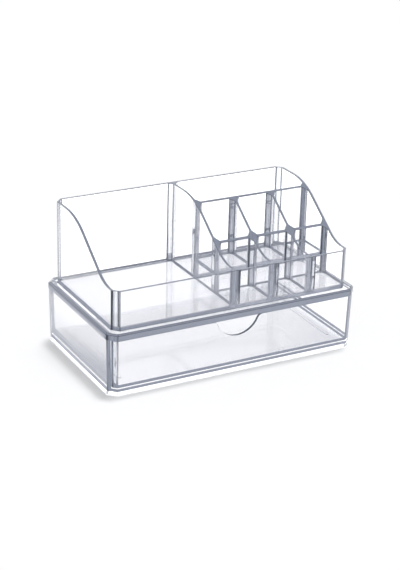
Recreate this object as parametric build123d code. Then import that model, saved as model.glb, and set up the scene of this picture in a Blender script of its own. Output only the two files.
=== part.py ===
from build123d import *
from math import radians, sqrt, tan
import os

# A clear moulded organiser for brushes and cosmetics, in millimetres, +Z up, front at -Y.
# A case with one drawer stands on the table, and a tray with eight compartments sits in a
# shallow recess on its cover and lifts straight off. Every upright corner is cut off at 45
# degrees. The origin is the centre of the case's footprint, on the table.

# ---------------------------------------------------------------- driving dimensions: case
case_width = 240.0          # over the cover, left to right
case_depth = 134.0          # over the cover, front to back
case_height = 56.5          # table to the top face of the cover
corner_cut = 7.5            # legs of the 45 degree cut at the cover's corners, in plan
wall_draft = 1.2            # degrees: walls lean out towards the top so that they leave the mould
case_wall = 2.6             # side and back walls
case_floor = 3.0            # floor plate

plinth_height = 3.4         # the rim that the case stands on
plinth_width = 2.8
plinth_proud = 0.6          # the plinth stands out past the foot of the walls

cover_thickness = 6.1
cover_proud = 0.5           # the cover stands out past the walls
cover_bevel = 1.3           # round the cover's top face
recess_depth = 1.5          # the tray's seat in the cover
recess_clearance = 0.4      # round the tray's foot, in plan

tongue_thickness = 1.3      # the walls' upper end, bonded into a groove under the cover
tongue_height = 2.4
tongue_front_gap = 12.0     # the tongue's front ends to the front of the cover
lap_clearance = 0.1         # tongue to groove
seam_gap = 0.1              # the open line between the walls and the cover

runner_width = 2.6          # two runners on the case floor carry the drawer
runner_height = 0.7
runner_inset = 13.6         # runner's centre line to the inside of the side wall, at the floor
runner_front_gap = 16.0     # runner's front end to the front of the case
runner_back_gap = 8.0       # runner's back end to the inside of the back wall

# -------------------------------------------------------------- driving dimensions: drawer
drawer_wall = 2.4
drawer_floor = 2.4
drawer_side_clearance = 0.5     # to each side wall
drawer_back_clearance = 2.0     # to the back wall; leaves 0.6 at the back corner cuts
drawer_top_clearance = 0.4      # to the cover
drawer_run_clearance = 0.1      # over the runners
drawer_side_round = 4.0         # inside, between the floor and the side walls
drawer_edge_bevel = 0.6         # round the underside

notch_radius = 21.0             # half-round finger notch in the front's top edge
notch_depth = 15.8
notch_shoulder = 4.5            # the round between the notch and the top edge

# ---------------------------------------------------------------- driving dimensions: tray
ledge_width = 6.8           # the cover's flat border left showing all round the tray
tray_height = 76.3          # foot to the top of the back wall
front_wall_height = 36.0    # foot to the top of the front wall
tray_wall = 2.4             # the four outer walls
divider = 2.2               # every wall between compartments
tray_floor = 2.4
foot_height = 0.6           # a low rim under the floor
foot_width = 3.0
seat_gap = 0.1              # air under the foot rim
tray_corner_cut = 5.8       # legs of the 45 degree cut at the tray's corners
pocket_cut = 3.8            # legs of the 45 degree webs in every compartment's corners
pocket_floor_bevel = 1.0    # between the floor and the walls of every compartment

row_depth = 34.0            # clear depth of the front row and of the middle row
column_count = 3            # compartments side by side in the front and middle rows
middle_floor_step = 17.4    # the middle row's floor stands this much above the others

slope_top_setback = 42.9    # back face of the tray to where the slope would leave the top level
slope_foot_setback = 20.9   # front face of the tray to where it would meet the front wall's top
slope_top_radius = 58.0     # the bulge at the top of the S curve
slope_foot_radius = 34.0    # the hollow at its foot

cut_over = 1.0              # how far a cutting shape runs past the face that it cuts


# ------------------------------------------------------------------------------ shared forms
def lean_over(height):
    """How far a drafted face moves sideways over this height."""
    return height * tan(radians(wall_draft))


def cut_inside(cut, distance):
    """The corner cut of an outline that runs this far inside another, equally all round."""
    return cut - distance * (2 - sqrt(2))


def cornered(x_low, x_high, y_low, y_high, cut, z):
    """A rectangle between the given sides with its corners cut off, lying at this height."""
    outline = chamfer(Rectangle(x_high - x_low, y_high - y_low).vertices(), cut)
    return Plane.XY.offset(z) * Pos((x_low + x_high) / 2, (y_low + y_high) / 2) * outline


def upright(x_low, x_high, y_low, y_high, cut, z_low, z_high):
    """A block with cut corners and straight walls."""
    return extrude(cornered(x_low, x_high, y_low, y_high, cut, z_low), amount=z_high - z_low)


def drafted(half_width, y_low, y_high, cut, z_low, z_high):
    """A block with cut corners, whose plan is given at its top and narrows downwards."""
    plan = cornered(-half_width, half_width, y_low, y_high, cut, z_high)
    return extrude(plan, amount=z_high - z_low, dir=(0, 0, -1), taper=wall_draft)


def lowest_edges(part):
    return part.edges().group_by(Axis.Z)[0]


# ------------------------------------------------------------------------ worked-out places
wall_half_width = case_width / 2 - cover_proud      # outside of the side walls, at their top
cavity_half_width = wall_half_width - case_wall
case_front_y = -case_depth / 2 + cover_proud        # front of the walls, at their top
case_back_y = case_depth / 2 - cover_proud
cavity_back_y = case_back_y - case_wall
wall_cut = cut_inside(corner_cut, cover_proud)
cavity_cut = cut_inside(wall_cut, case_wall)

case_floor_z = plinth_height + case_floor
cover_z = case_height - cover_thickness
wall_top_z = cover_z - seam_gap
tongue_top_z = cover_z + tongue_height
drawer_bottom_z = case_floor_z + runner_height + drawer_run_clearance
drawer_top_z = cover_z - drawer_top_clearance

# The drawer's front corners carry on the line of the case's corner cuts.
drawer_half_width = cavity_half_width - drawer_side_clearance
drawer_back_y = cavity_back_y - drawer_back_clearance
drawer_cut = wall_cut - case_wall - drawer_side_clearance

recess_z = case_height - recess_depth
foot_z = recess_z + seat_gap
floor_z = foot_z + foot_height + tray_floor
middle_floor_z = floor_z + middle_floor_step
tray_top_z = foot_z + tray_height
front_top_z = foot_z + front_wall_height

tray_width = case_width - 2 * ledge_width
tray_depth = case_depth - 2 * ledge_width
inner_right_x = tray_width / 2 - tray_wall
inner_front_y = -tray_depth / 2 + tray_wall
inner_back_y = tray_depth / 2 - tray_wall
middle_row_y = inner_front_y + row_depth + divider  # front edge of the middle row
rear_row_y = middle_row_y + row_depth + divider
column_width = (inner_right_x - divider / 2 - (column_count - 1) * divider) / column_count


# ----------------------------------------------------------------------------- the case body
def case_cavity():
    """The room for the drawer: closed behind and at the sides, open in front and on top."""
    return drafted(cavity_half_width, case_front_y - 2 * corner_cut, cavity_back_y, cavity_cut,
                   case_floor_z, wall_top_z)


def lap_ring(spare, z_low, z_high):
    """The band along the sides and back where the walls lap into the cover."""
    inner_cut = cut_inside(cavity_cut, -spare)
    outer_cut = cut_inside(cavity_cut, -tongue_thickness - spare)
    front_y = -case_depth / 2 + tongue_front_gap - spare
    inside, outside = cavity_half_width - spare, cavity_half_width + tongue_thickness + spare
    outer = upright(-outside, outside, front_y - 2 * corner_cut,
                    cavity_back_y + tongue_thickness + spare, outer_cut, z_low, z_high)
    inner = upright(-inside, inside, front_y - 4 * corner_cut, cavity_back_y - spare,
                    inner_cut, z_low - cut_over, z_high + cut_over)
    behind_the_mouth = upright(-case_width, case_width, front_y, case_depth, corner_cut,
                               z_low - cut_over, z_high + cut_over)
    return (outer - inner) & behind_the_mouth


def runner(side):
    """One low rail on the floor, with round ends, that the drawer slides on."""
    x = side * (cavity_half_width - lean_over(wall_top_z - case_floor_z) - runner_inset)
    front_y = case_front_y + lean_over(wall_top_z) + runner_front_gap
    back_y = cavity_back_y - lean_over(wall_top_z - case_floor_z) - runner_back_gap
    slot = Rot(0, 0, 90) * SlotOverall(back_y - front_y, runner_width)
    plan = Plane.XY.offset(case_floor_z) * Pos(x, (front_y + back_y) / 2) * slot
    return extrude(plan, amount=runner_height)


def make_case_body():
    """Plinth, floor, side and back walls in one moulding, open in front and on top."""
    body = drafted(wall_half_width, case_front_y, case_back_y, wall_cut, 0, wall_top_z)
    spread = plinth_proud - lean_over(wall_top_z)
    half_width, front_y, back_y = wall_half_width + spread, case_front_y - spread, case_back_y + spread
    body += upright(-half_width, half_width, front_y, back_y, wall_cut, 0, plinth_height)
    body -= upright(-half_width + plinth_width, half_width - plinth_width, front_y + plinth_width,
                    back_y - plinth_width, cut_inside(wall_cut, plinth_width),
                    -cut_over, plinth_height)
    body -= case_cavity()
    body += lap_ring(0, wall_top_z - cut_over, tongue_top_z)
    return body + runner(-1) + runner(1)


# ---------------------------------------------------------------------------- the case cover
def make_case_cover():
    """A thick plate over the drawer, grooved for the walls, with a shallow seat for the tray."""
    half_width, half_depth = case_width / 2, case_depth / 2
    cover = upright(-half_width, half_width, -half_depth, half_depth, corner_cut,
                    cover_z, case_height)
    cover = chamfer(cover.edges().group_by(Axis.Z)[-1], cover_bevel)
    cover -= lap_ring(lap_clearance, cover_z - cut_over, tongue_top_z + lap_clearance)

    reach = recess_clearance - ledge_width
    return cover - upright(-half_width - reach, half_width + reach, -half_depth - reach,
                           half_depth + reach, cut_inside(tray_corner_cut, -recess_clearance),
                           recess_z, case_height + cut_over)


# -------------------------------------------------------------------------------- the drawer
def notch_cutter():
    """A half round through the front, running out into the top edge over soft shoulders."""
    arc_z = drawer_top_z - notch_depth + notch_radius
    above = 2 * notch_radius
    profile = Pos(0, arc_z) * Circle(notch_radius)
    profile += Pos(0, drawer_top_z + above / 2) * Rectangle(6 * notch_radius, above)
    shoulders = [corner for corner in profile.vertices()
                 if abs(corner.Y - drawer_top_z) < 0.01 and abs(corner.X) < notch_radius]
    profile = fillet(shoulders, notch_shoulder)
    plane = Plane((0, case_front_y, 0), x_dir=(1, 0, 0), z_dir=(0, -1, 0))
    return extrude(plane * profile, amount=2 * drawer_wall, both=True)


def make_drawer():
    """A tub with cut corners, a square front edge and a finger notch in its front."""
    tub = drafted(drawer_half_width, case_front_y, drawer_back_y, drawer_cut,
                  drawer_bottom_z, drawer_top_z)
    tub = chamfer(lowest_edges(tub), drawer_edge_bevel)
    room = drafted(drawer_half_width - drawer_wall, case_front_y + drawer_wall,
                   drawer_back_y - drawer_wall, cut_inside(drawer_cut, drawer_wall),
                   drawer_bottom_z + drawer_floor, drawer_top_z)
    room = fillet(lowest_edges(room).filter_by(Axis.Y), drawer_side_round)
    return tub - room - notch_cutter()


# ---------------------------------------------------------------------------------- the tray
def s_curve_block():
    """Everything under the S curve that the side walls and dividers all share."""
    back_y, front_y = tray_depth / 2, -tray_depth / 2
    slope_top_y = back_y - slope_top_setback
    slope_foot_y = front_y + slope_foot_setback
    low_z = foot_z - cut_over
    side = Polygon((back_y, low_z), (back_y, tray_top_z), (slope_top_y, tray_top_z),
                   (slope_foot_y, front_top_z), (front_y, front_top_z), (front_y, low_z), align=None)
    bulge = side.vertices().sort_by_distance((slope_top_y, tray_top_z))[0]
    side = fillet(bulge, slope_top_radius)
    hollow = side.vertices().sort_by_distance((slope_foot_y, front_top_z))[0]
    side = fillet(hollow, slope_foot_radius)
    return extrude(Plane.YZ * side, amount=tray_width / 2, both=True)


def pocket(x_low, x_high, y_low, y_high, z_floor):
    """The hollow of one compartment, with cut corners and a bevel round its floor."""
    hollow = upright(x_low, x_high, y_low, y_high, pocket_cut, z_floor, tray_top_z + cut_over)
    return chamfer(lowest_edges(hollow), pocket_floor_bevel)


def make_tray():
    """Eight compartments: a deep one on the left, one behind, and two rows of three."""
    half_width, half_depth = tray_width / 2, tray_depth / 2
    tray = upright(-half_width, half_width, -half_depth, half_depth, tray_corner_cut,
                   foot_z, tray_top_z) & s_curve_block()

    tray -= pocket(-inner_right_x, -divider / 2, inner_front_y, inner_back_y, floor_z)
    tray -= pocket(divider / 2, inner_right_x, rear_row_y, inner_back_y, floor_z)
    for column in range(column_count):
        x_low = divider / 2 + column * (column_width + divider)
        x_high = x_low + column_width
        tray -= pocket(x_low, x_high, inner_front_y, inner_front_y + row_depth, floor_z)
        tray -= pocket(x_low, x_high, middle_row_y, middle_row_y + row_depth, middle_floor_z)

    # The middle row's floor is a raised plate, and the room under it is open below.
    tray -= upright(divider / 2, inner_right_x, middle_row_y, middle_row_y + row_depth,
                    pocket_cut, foot_z - cut_over, middle_floor_z - tray_floor)
    tray -= upright(-half_width + foot_width, half_width - foot_width, -half_depth + foot_width,
                    half_depth - foot_width, cut_inside(tray_corner_cut, foot_width),
                    foot_z - cut_over, foot_z + foot_height)
    return tray


parts = {
    "case_body": make_case_body(),
    "case_cover": make_case_cover(),
    "drawer": make_drawer(),
    "upper_tray": make_tray(),
}
os.makedirs("parts", exist_ok=True)
for name, solid in parts.items():
    export_step(solid, f"parts/{name}.step")
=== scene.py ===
import math

import bmesh
import bpy
from mathutils import Matrix, Vector


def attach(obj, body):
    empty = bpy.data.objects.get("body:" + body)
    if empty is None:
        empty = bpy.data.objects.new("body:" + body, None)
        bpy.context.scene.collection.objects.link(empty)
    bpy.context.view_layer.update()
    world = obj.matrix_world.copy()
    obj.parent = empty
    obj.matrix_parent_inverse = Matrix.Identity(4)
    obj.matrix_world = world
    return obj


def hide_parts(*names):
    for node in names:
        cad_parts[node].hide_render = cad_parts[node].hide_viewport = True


bl_info = {
    "name": "Clear drawer organiser",
    "version": (1, 0, 0),
    "blender": (4, 5, 0),
    "location": "View3D > Sidebar > Organiser",
    "description": "Finishes a clear moulded organiser with a drawer and a lift-off tray",
    "category": "Object",
}

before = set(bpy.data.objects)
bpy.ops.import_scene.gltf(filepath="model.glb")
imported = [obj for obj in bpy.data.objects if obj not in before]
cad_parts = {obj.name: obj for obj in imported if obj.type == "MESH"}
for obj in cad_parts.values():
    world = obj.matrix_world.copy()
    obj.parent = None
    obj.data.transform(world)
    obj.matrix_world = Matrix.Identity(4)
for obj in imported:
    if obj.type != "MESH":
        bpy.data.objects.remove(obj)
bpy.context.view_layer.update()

WHITE = "#FFFFFF"

# Material slots of every piece: its walls, its 45 degree corner flats with painted refraction
# stripes and its eased edges with painted shade.
WALL, FLAT, EASED = 0, 1, 2

# The sink and flow waves in the walls are taken to run some 25 mm from crest to crest.
FLOW_WAVES_PER_METRE = 40.0

# Mirror share inside the plastic from which light begins to be held, and from which all of it is.
# Held light gets painted shade and painted glow.
HELD_FROM, HELD_FULLY = 0.165, 0.3

# Places across a face of a corner flat, from its left side, and the colours there of its painted
# refraction stripes, which stand in for the room's dark and bright parts as the flat bends them.
CORNER_PAINTED_REFRACTION = ((0.0, "#0E1118"), (0.12, "#1C2028"), (0.20, "#B4B8C1"), (0.40, "#E2E4E9"),
                  (0.52, "#FFFFFF"), (0.68, "#CDD0D7"), (0.82, "#F6F6F8"), (1.0, "#7C828E"))

# The painted refraction stripes waver by up to a fifth of a face over some 30 mm, so that they don't
# look ruled.
WAVERS_PER_METRE = 30.0
WAVER_SHARE = 0.2

# Points closer than this are one point, and faces that meet more gently look like one surface.
SAME_POINT = 0.00001
SMOOTH_UNDER = math.radians(20)

# How far a face's direction may be off and the face still counts as upright, as cutting its
# corner at 45 degrees, or as running through the drawer's front wall.
UPRIGHT_WITHIN = 0.05
DIAGONAL_WITHIN = 0.1
THROUGH_WITHIN = 0.2


# ---------------------------------------------------------------------------- colour and nodes
def linear(hex_colour):
    """A colour written as sRGB hex, as the linear values that a socket takes."""
    value = hex_colour.lstrip("#")
    channels = [int(value[i:i + 2], 16) / 255 for i in (0, 2, 4)]
    return [c / 12.92 if c <= 0.04045 else ((c + 0.055) / 1.055) ** 2.4 for c in channels] + [1.0]


def add_node(tree, kind, settings=None, inputs=None, links=None):
    """Adds one node with its settings, its socket values and the links into it."""
    node = tree.nodes.new(kind)
    for name, value in (settings or {}).items():
        setattr(node, name, value)
    for socket, value in (inputs or {}).items():
        node.inputs[socket].default_value = value
    for socket, source in (links or {}).items():
        tree.links.new(source, node.inputs[socket])
    return node


def new_material(name):
    """An empty material and its node tree."""
    material = bpy.data.materials.new(name)
    material.use_nodes = True
    material.node_tree.nodes.clear()
    return material, material.node_tree


# ------------------------------------------------------------------------------------ finishes
def moulded_polystyrene(name, finish, tint):
    """Crystal polystyrene, injection-moulded in a polished tool.

    It gives the eye water-clear walls, grey edges where light is held inside the plastic, made of
    painted shade and painted glow, and a barely wavy surface left by the melt as it flowed and
    shrank.
    """
    material, tree = new_material(name)
    place = add_node(tree, "ShaderNodeTexCoord")
    waves = add_node(tree, "ShaderNodeTexNoise",
                     inputs={"Scale": FLOW_WAVES_PER_METRE, "Detail": 1.0},
                     links={"Vector": place.outputs["Object"]})
    bump = add_node(tree, "ShaderNodeBump",
                    inputs={"Strength": 1.0, "Distance": finish.flow_depth},
                    links={"Height": waves.outputs["Fac"]})
    clear = add_node(tree, "ShaderNodeBsdfPrincipled",
                     inputs={"Base Color": linear(tint), "Roughness": finish.roughness,
                             "IOR": finish.ior, "Transmission Weight": 1.0},
                     links={"Normal": bump.outputs["Normal"]})
    # Light that the plastic turns back inside itself is painted darker, keeping only a share, and
    # gains a painted glow in the edge colour.
    mirror = add_node(tree, "ShaderNodeBsdfAnisotropic",
                      inputs={"Color": linear(finish.painted_turn_shade), "Roughness": finish.roughness})
    painted_glow = add_node(tree, "ShaderNodeEmission",
                    inputs={"Color": linear(finish.edge), "Strength": finish.painted_glow})
    inside = add_node(tree, "ShaderNodeAddShader",
                      links={0: mirror.outputs["BSDF"], 1: painted_glow.outputs["Emission"]})
    share = add_node(tree, "ShaderNodeFresnel", inputs={"IOR": finish.ior})
    held = add_node(tree, "ShaderNodeMapRange", settings={"interpolation_type": "SMOOTHSTEP"},
                    inputs={"From Min": HELD_FROM, "From Max": HELD_FULLY},
                    links={"Value": share.outputs["Fac"]})
    side = add_node(tree, "ShaderNodeNewGeometry")
    held = add_node(tree, "ShaderNodeMath", settings={"operation": "MULTIPLY"},
                    links={0: held.outputs["Result"], 1: side.outputs["Backfacing"]})
    body = add_node(tree, "ShaderNodeMixShader",
                    links={0: held.outputs[0], 1: clear.outputs["BSDF"],
                           2: inside.outputs["Shader"]})
    # Clear plastic lets lamps through, a little less at every surface.
    through = add_node(tree, "ShaderNodeBsdfTransparent", inputs={"Color": linear(finish.shade)})
    path = add_node(tree, "ShaderNodeLightPath")
    mix = add_node(tree, "ShaderNodeMixShader",
                   links={0: path.outputs["Is Shadow Ray"], 1: body.outputs["Shader"],
                          2: through.outputs["BSDF"]})
    add_node(tree, "ShaderNodeOutputMaterial", links={"Surface": mix.outputs["Shader"]})
    # The painted glow counts where a ray meets it, and isn't sampled as a lamp.
    material.cycles.emission_sampling = "NONE"
    return material, tree, clear


def refraction_painted_polystyrene(name, finish):
    """The same plastic in the corner flats, which act as prisms.

    It gives the eye upright stripes, a dark one first: painted refraction of the room's dark and
    bright parts. They are painted across each flat into the plastic's colour, because in a white
    studio the bending of light alone leaves the flats pale.
    """
    material, tree, clear = moulded_polystyrene(name, finish, finish.tint)
    place = add_node(tree, "ShaderNodeTexCoord")
    waver = add_node(tree, "ShaderNodeTexNoise",
                     inputs={"Scale": WAVERS_PER_METRE, "Detail": 1.0},
                     links={"Vector": place.outputs["Object"]})
    shift = add_node(tree, "ShaderNodeMath", settings={"operation": "MULTIPLY_ADD"},
                     inputs={1: WAVER_SHARE, 2: -WAVER_SHARE / 2},
                     links={0: waver.outputs["Fac"]})
    across = add_node(tree, "ShaderNodeSeparateXYZ", links={0: place.outputs["UV"]})
    across = add_node(tree, "ShaderNodeMath", links={0: across.outputs["X"], 1: shift.outputs[0]})
    ramp = add_node(tree, "ShaderNodeValToRGB", links={"Fac": across.outputs[0]})
    # A new colour ramp already has two stops.
    for index, (position, colour) in enumerate(CORNER_PAINTED_REFRACTION):
        stop = (ramp.color_ramp.elements[index] if index in (0, 1)
                else ramp.color_ramp.elements.new(position))
        stop.position = position
        stop.color = linear(colour)
    # The painted refraction stripes go into the plastic's colour.
    tree.links.new(ramp.outputs["Color"], clear.inputs["Base Color"])
    return material


def faded(tree, value, start, start_colour, end, end_colour):
    """A colour that fades from one to another while this value runs from start to end."""
    fade = add_node(tree, "ShaderNodeMapRange", settings={"interpolation_type": "SMOOTHSTEP"},
                    inputs={"From Min": start, "From Max": end}, links={"Value": value})
    mix = add_node(tree, "ShaderNodeMix", settings={"data_type": "RGBA"},
                   inputs={"A": linear(start_colour), "B": linear(end_colour)},
                   links={"Factor": fade.outputs["Result"]})
    return mix.outputs["Result"]


def how_seen(tree):
    """Two values that are 0 or 1.

    The first is 1 for whatever reaches the camera straight, off a mirror face or through clear
    walls, and 0 for light that falls on matt paper. The second is 1 after any reflection.
    """
    path = add_node(tree, "ShaderNodeLightPath")
    seen = add_node(tree, "ShaderNodeMath", settings={"operation": "MAXIMUM"},
                    links={0: path.outputs["Is Camera Ray"], 1: path.outputs["Is Glossy Ray"]})
    seen = add_node(tree, "ShaderNodeMath", settings={"operation": "MAXIMUM"},
                    links={0: seen.outputs[0], 1: path.outputs["Is Transmission Ray"]})
    reflected = add_node(tree, "ShaderNodeMath", settings={"operation": "MINIMUM"},
                         inputs={1: 1.0}, links={0: path.outputs["Glossy Depth"]})
    return seen.outputs[0], reflected.outputs[0]


def studio_paper(name, stage):
    """Matt white background paper, rolled smooth.

    It is lifted to white where it is seen, and reflections show it dimmer with distance.
    """
    material, tree = new_material(name)
    seen, reflected = how_seen(tree)
    path = add_node(tree, "ShaderNodeLightPath")
    lift = add_node(tree, "ShaderNodeMath", settings={"operation": "MULTIPLY"},
                    inputs={1: stage.lift}, links={0: seen})
    # White paper stays white behind several clear walls, though each reflects some of it away.
    lift = add_node(tree, "ShaderNodeMath", settings={"operation": "MULTIPLY_ADD"},
                    inputs={1: stage.through},
                    links={0: path.outputs["Is Transmission Ray"], 2: lift.outputs[0]})
    light = add_node(tree, "ShaderNodeEmission", inputs={"Color": linear(WHITE)},
                     links={"Strength": lift.outputs[0]})
    matt = add_node(tree, "ShaderNodeBsdfDiffuse", inputs={"Color": linear(stage.paper)})
    both = add_node(tree, "ShaderNodeAddShader",
                    links={0: matt.outputs["BSDF"], 1: light.outputs["Emission"]})
    place = add_node(tree, "ShaderNodeTexCoord")
    reach = add_node(tree, "ShaderNodeVectorMath", settings={"operation": "LENGTH"},
                     links={0: place.outputs["Object"]})
    colour = faded(tree, reach.outputs["Value"], stage.near_reach, stage.near_floor,
                   stage.far_reach, stage.far_floor)
    dim = add_node(tree, "ShaderNodeEmission", inputs={"Strength": 1.0},
                   links={"Color": colour})
    mix = add_node(tree, "ShaderNodeMixShader",
                   links={0: reflected, 1: both.outputs["Shader"], 2: dim.outputs["Emission"]})
    add_node(tree, "ShaderNodeOutputMaterial", links={"Surface": mix.outputs["Shader"]})
    return material


# -------------------------------------------------------------------------------------- shapes
def is_corner_flat(face, finish):
    """True for an upright face above the plinth that stands at 45 degrees to the walls.

    Besides the corner flats, that takes eight facets 0.2 mm wide on the runners' round ends. All of
    these faces get the painted refraction stripes.
    """
    across, along = abs(face.normal.x), abs(face.normal.y)
    top = max(vert.co.z for vert in face.verts)
    return (abs(face.normal.z) < UPRIGHT_WITHIN and abs(across - along) < DIAGONAL_WITHIN
            and top > finish.plinth_height)


def is_notch_rim(face, front, top, finish):
    """True for a face that runs through the drawer's front wall round the finger notch."""
    return abs(face.normal.y) < THROUGH_WITHIN and all(
        abs(vert.co.x) < finish.notch_reach and vert.co.y < front + finish.notch_wall
        and vert.co.z > top - finish.notch_depth for vert in face.verts)


def lay_across(shape, face):
    """Gives one face of a corner flat a U coordinate from 0 at its left side to 1 at its right.

    Where a flat is made of triangles narrower than itself, the painted refraction stripes are
    squeezed into each.
    """
    layer = shape.loops.layers.uv.verify()
    right = Vector((0.0, 0.0, 1.0)).cross(face.normal).normalized()
    places = [right.dot(loop.vert.co) for loop in face.loops]
    low, width = min(places), max(places) - min(places)
    for loop, place in zip(face.loops, places):
        loop[layer].uv = ((place - low) / width, loop.vert.co.z)


def merged_copy(node, name, finish):
    """A copy of a CAD node with its loose triangles joined up and its crisp edges eased.

    Each face gets its material slot: wall, corner flat, or eased edge, which the rim of the finger
    notch shares because it is as narrow; both are tinted dark, a painted shade in place of the dark
    surroundings that a real edge shows.
    """
    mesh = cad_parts[node].data.copy()
    mesh.name = name
    mesh.materials.clear()
    shape = bmesh.new()
    shape.from_mesh(mesh)
    bmesh.ops.remove_doubles(shape, verts=shape.verts, dist=SAME_POINT)
    front = min(vert.co.y for vert in shape.verts)
    top = max(vert.co.z for vert in shape.verts)
    for face in shape.faces:
        face.material_index = FLAT if is_corner_flat(face, finish) else WALL
        # The rim of the finger notch gets the eased edges' painted shade.
        if node == "drawer" and is_notch_rim(face, front, top, finish):
            face.material_index = EASED
    crisp = [edge for edge in shape.edges if edge.calc_face_angle(0.0) > finish.sharp_angle]
    eased = bmesh.ops.bevel(shape, geom=crisp, offset=finish.ease, offset_type="OFFSET",
                            segments=1, profile=0.5, affect="EDGES", clamp_overlap=True,
                            material=-1)
    for face in eased["faces"]:
        face.material_index = EASED
    shape.normal_update()
    for face in shape.faces:
        face.smooth = True
        if face.material_index == FLAT:
            lay_across(shape, face)
    for edge in shape.edges:
        edge.smooth = edge.calc_face_angle(0.0) < SMOOTH_UNDER
    shape.to_mesh(mesh)
    shape.free()
    piece = bpy.data.objects.new(name, mesh)
    bpy.context.scene.collection.objects.link(piece)
    return piece


# ---------------------------------------------------------------------------------- properties
class OrganiserFinish(bpy.types.PropertyGroup):
    tint: bpy.props.StringProperty(
        name="Wall tint", description="sRGB hex colour of the clear plastic", default="#FCFCFD")
    shade: bpy.props.StringProperty(
        name="Shade", description="sRGB hex colour of the light that one surface lets through",
        default="#F1F1F1")
    # Painted shade: each reflection inside keeps only this colour, which darkens the edges.
    painted_turn_shade: bpy.props.StringProperty(
        name="Turned light", description="sRGB hex colour that one reflection inside keeps",
        default="#DCDDE0")
    # Colour of the painted glow that stands in for light at the edges where light is held inside.
    edge: bpy.props.StringProperty(
        name="Edge colour", description="sRGB hex colour of the haze inside the plastic",
        default="#8F939C")
    # Painted glow: light added inside the plastic at each reflection there, though it is no lamp.
    painted_glow: bpy.props.FloatProperty(
        name="Painted glow", description="Share of the edge colour added by each reflection inside",
        default=0.28, min=0.0, max=1.0)
    ior: bpy.props.FloatProperty(
        name="Refractive index", description="Refractive index of polystyrene", default=1.59,
        min=1.0, max=2.0)
    roughness: bpy.props.FloatProperty(
        name="Roughness", description="Roughness of the polished surface", default=0.02,
        min=0.0, max=1.0)
    flow_depth: bpy.props.FloatProperty(
        name="Flow waves", description="Height of the waves left by moulding", default=0.00003,
        min=0.0, max=0.001, unit="LENGTH")
    # Painted shade: a dark tint on the eased edges and the notch's rim, in place of the dark
    # surroundings that a real edge shows.
    painted_edge_shade: bpy.props.StringProperty(
        name="Eased edges", description="sRGB hex colour of the eased edges and the notch's rim",
        default="#4E535D")
    ease: bpy.props.FloatProperty(
        name="Ease", description="Width cut off along every crisp edge", default=0.00025,
        min=0.0, max=0.001, unit="LENGTH")
    sharp_angle: bpy.props.FloatProperty(
        name="Sharp angle", description="Edges that turn by more than this are crisp and get eased",
        default=math.radians(30), subtype="ANGLE")
    plinth_height: bpy.props.FloatProperty(
        name="Plinth height", description="Corner flats that end below this have no stripes",
        default=0.004, min=0.0, max=0.02, unit="LENGTH")
    notch_reach: bpy.props.FloatProperty(
        name="Notch reach", description="Half the width in which the finger notch lies",
        default=0.027, min=0.0, max=0.1, unit="LENGTH")
    notch_wall: bpy.props.FloatProperty(
        name="Notch wall", description="Depth in which the drawer's front wall lies",
        default=0.0035, min=0.0, max=0.02, unit="LENGTH")
    notch_depth: bpy.props.FloatProperty(
        name="Notch depth", description="Height below the drawer's top in which the notch lies",
        default=0.0165, min=0.0, max=0.05, unit="LENGTH")


class OrganiserStage(bpy.types.PropertyGroup):
    azimuth: bpy.props.FloatProperty(
        name="Azimuth", description="Camera's turn round the object", default=math.radians(-28.91),
        subtype="ANGLE")
    elevation: bpy.props.FloatProperty(
        name="Elevation", description="Camera's height above the horizon",
        default=math.radians(23.0), subtype="ANGLE")
    roll: bpy.props.FloatProperty(
        name="Roll", description="Camera's roll", default=math.radians(1.67), subtype="ANGLE")
    distance: bpy.props.FloatProperty(
        name="Distance", description="Camera to the point it looks at", default=1.3376,
        unit="LENGTH")
    aim: bpy.props.FloatVectorProperty(
        name="Aim", description="Point that the camera looks at", default=(-0.00124, 0.0, 0.055),
        subtype="TRANSLATION", unit="LENGTH")
    lens: bpy.props.FloatProperty(
        name="Lens", description="Focal length for a 36 mm wide sensor", default=96.28)
    lamp_strength: bpy.props.FloatProperty(
        name="Lamp", description="Strength of the overhead light", default=2.4, min=0.0)
    lamp_angle: bpy.props.FloatProperty(
        name="Lamp width", description="Angle that the overhead light fills, for a soft shadow",
        default=math.radians(9), subtype="ANGLE")
    lamp_way: bpy.props.FloatVectorProperty(
        name="Lamp direction", description="Way in which the overhead light shines",
        default=(-0.17, -0.09, -1.0), subtype="DIRECTION")
    soft_light: bpy.props.StringProperty(
        name="Soft light", description="sRGB hex colour of the even light that the room gives",
        default="#8E8F91")
    floor_half_width: bpy.props.FloatProperty(
        name="Floor", description="Half the width of the paper floor", default=6.0,
        unit="LENGTH")
    paper: bpy.props.StringProperty(
        name="Paper", description="sRGB hex colour of the floor", default="#F2F2F2")
    lift: bpy.props.FloatProperty(
        name="Paper lift", description="Brightness added to the paper where it is seen",
        default=0.1, min=0.0, max=1.0)
    through: bpy.props.FloatProperty(
        name="Seen through", description="Brightness added to the paper behind clear walls",
        default=0.7, min=0.0, max=1.0)
    near_reach: bpy.props.FloatProperty(
        name="Near reach", description="Distance at which the floor in reflections starts to dim",
        default=0.25, unit="LENGTH")
    near_floor: bpy.props.StringProperty(
        name="Near floor", description="sRGB hex colour of the near floor, in reflections",
        default="#E6E7EA")
    far_reach: bpy.props.FloatProperty(
        name="Far reach", description="Distance at which the floor in reflections is dimmest",
        default=1.0, unit="LENGTH")
    far_floor: bpy.props.StringProperty(
        name="Far floor", description="sRGB hex colour of the far floor, in reflections",
        default="#8C8F95")
    low_height: bpy.props.FloatProperty(
        name="Low height", description="Upward share of a look at which the room starts to darken",
        default=0.35, min=0.0, max=1.0)
    low_room: bpy.props.StringProperty(
        name="Low room", description="sRGB hex colour of the room's walls, in reflections",
        default="#F3F4F6")
    high_height: bpy.props.FloatProperty(
        name="High height", description="Upward share of a look at which the room is darkest",
        default=0.85, min=0.0, max=1.0)
    high_room: bpy.props.StringProperty(
        name="High room", description="sRGB hex colour of the ceiling, in reflections",
        default="#484C54")


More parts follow.
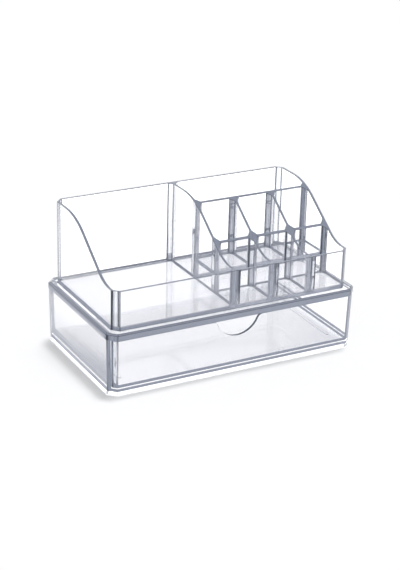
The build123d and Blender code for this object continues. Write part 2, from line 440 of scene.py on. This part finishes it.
# ----------------------------------------------------------------------------------- operators
class ORGANISER_OT_clear_parts(bpy.types.Operator):
    """Gives the case, its cover, the drawer and the tray their moulded clear finish"""
    bl_idname = "organiser.clear_parts"
    bl_label = "Clear parts"

    def execute(self, context):
        finish = context.scene.organiser_finish
        pieces = (("case_body", "case_walls", "case", "case"),
                  ("case_cover", "cover_plate", "case", "cover"),
                  ("drawer", "drawer_tub", "drawer", "drawer"),
                  ("upper_tray", "divided_tray", "tray", "tray"))
        walls = moulded_polystyrene("moulded_polystyrene", finish, finish.tint)[0]
        # The corner flats get painted refraction stripes in their colour.
        flats = refraction_painted_polystyrene("polystyrene_corner_flats_painted_refraction", finish)
        # The eased edges and the notch's rim get painted shade, a dark tint.
        edges = moulded_polystyrene("polystyrene_eased_edges", finish, finish.painted_edge_shade)[0]
        for node, name, body, slot in pieces:
            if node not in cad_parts:
                raise RuntimeError(f"the frame has no node {node}")
            piece = merged_copy(node, name, finish)
            for material in (walls, flats, edges):
                piece.data.materials.append(material)
            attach(piece, body)
            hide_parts(node)
        return {"FINISHED"}


class ORGANISER_OT_stage(bpy.types.Operator):
    """Sets the paper floor, the soft light and the camera"""
    bl_idname = "organiser.stage"
    bl_label = "Stage"

    def execute(self, context):
        stage = context.scene.organiser_stage
        self.floor(stage)
        self.world(context, stage)
        self.lamp(stage)
        self.camera(context, stage)
        self.light_paths(context)
        context.scene.view_settings.view_transform = "Standard"
        return {"FINISHED"}

    def floor(self, stage):
        """A wide sheet of white paper under the object."""
        shape = bmesh.new()
        bmesh.ops.create_grid(shape, x_segments=1, y_segments=1, size=stage.floor_half_width)
        mesh = bpy.data.meshes.new("paper_floor")
        shape.to_mesh(mesh)
        shape.free()
        floor = bpy.data.objects.new("paper_floor", mesh)
        bpy.context.scene.collection.objects.link(floor)
        mesh.materials.append(studio_paper("studio_paper", stage))

    def world(self, context, stage):
        """A white studio, with a dim room that only reflections show and even light for the rest."""
        world = bpy.data.worlds.new("studio")
        context.scene.world = world
        world.use_nodes = True
        tree = world.node_tree
        tree.nodes.clear()
        seen, reflected = how_seen(tree)
        soft = add_node(tree, "ShaderNodeBackground",
                        inputs={"Color": linear(stage.soft_light), "Strength": 1.0})
        white = add_node(tree, "ShaderNodeBackground",
                         inputs={"Color": linear(WHITE), "Strength": 1.0})
        way = add_node(tree, "ShaderNodeTexCoord")
        way = add_node(tree, "ShaderNodeSeparateXYZ", links={0: way.outputs["Generated"]})
        colour = faded(tree, way.outputs["Z"], stage.low_height, stage.low_room,
                       stage.high_height, stage.high_room)
        room = add_node(tree, "ShaderNodeBackground", inputs={"Strength": 1.0},
                        links={"Color": colour})
        shown = add_node(tree, "ShaderNodeMixShader",
                         links={0: reflected, 1: white.outputs[0], 2: room.outputs[0]})
        mix = add_node(tree, "ShaderNodeMixShader",
                       links={0: seen, 1: soft.outputs[0], 2: shown.outputs[0]})
        add_node(tree, "ShaderNodeOutputWorld", links={"Surface": mix.outputs[0]})

    def lamp(self, stage):
        """One soft overhead light, which leaves a short shadow along the left side."""
        data = bpy.data.lights.new("overhead_softbox", "SUN")
        data.energy = stage.lamp_strength
        data.angle = stage.lamp_angle
        lamp = bpy.data.objects.new("overhead_softbox", data)
        lamp.rotation_mode = "QUATERNION"
        lamp.rotation_quaternion = Vector(stage.lamp_way).to_track_quat("-Z", "Y")
        # The reflections show the room and no bright spot.
        lamp.visible_glossy = False
        lamp.visible_transmission = False
        bpy.context.scene.collection.objects.link(lamp)

    def camera(self, context, stage):
        """A camera at the photograph's angle, with the photograph's slight roll."""
        data = bpy.data.cameras.new("camera")
        data.lens = stage.lens
        data.sensor_width = 36.0
        camera = bpy.data.objects.new("camera", data)
        context.scene.collection.objects.link(camera)
        context.scene.camera = camera
        turn, rise = stage.azimuth, stage.elevation
        back = Vector((math.sin(turn) * math.cos(rise), -math.cos(turn) * math.cos(rise),
                       math.sin(rise)))
        facing = (-back).to_track_quat("-Z", "Y").to_matrix().to_4x4()
        camera.matrix_world = (Matrix.Translation(Vector(stage.aim) + back * stage.distance)
                               @ facing @ Matrix.Rotation(stage.roll, 4, "Z"))

    def light_paths(self, context):
        """Lets a ray cross all the clear walls that stand behind one another."""
        cycles = context.scene.cycles
        cycles.max_bounces = 40
        cycles.transmission_bounces = 40
        cycles.glossy_bounces = 24
        cycles.transparent_max_bounces = 64


class ORGANISER_PT_sidebar(bpy.types.Panel):
    bl_label = "Organiser"
    bl_idname = "ORGANISER_PT_sidebar"
    bl_space_type = "VIEW_3D"
    bl_region_type = "UI"
    bl_category = "Organiser"

    def draw(self, context):
        layout = self.layout
        for name in OrganiserFinish.__annotations__:
            layout.prop(context.scene.organiser_finish, name)
        layout.operator("organiser.clear_parts")
        for name in OrganiserStage.__annotations__:
            layout.prop(context.scene.organiser_stage, name)
        layout.operator("organiser.stage")


classes = (OrganiserFinish, OrganiserStage, ORGANISER_OT_clear_parts, ORGANISER_OT_stage,
           ORGANISER_PT_sidebar)


def register():
    for kind in classes:
        bpy.utils.register_class(kind)
    bpy.types.Scene.organiser_finish = bpy.props.PointerProperty(type=OrganiserFinish)
    bpy.types.Scene.organiser_stage = bpy.props.PointerProperty(type=OrganiserStage)


def unregister():
    del bpy.types.Scene.organiser_stage
    del bpy.types.Scene.organiser_finish
    for kind in reversed(classes):
        bpy.utils.unregister_class(kind)


def main():
    register()
    bpy.ops.organiser.clear_parts()
    bpy.ops.organiser.stage()


if __name__ == "__main__":
    main()
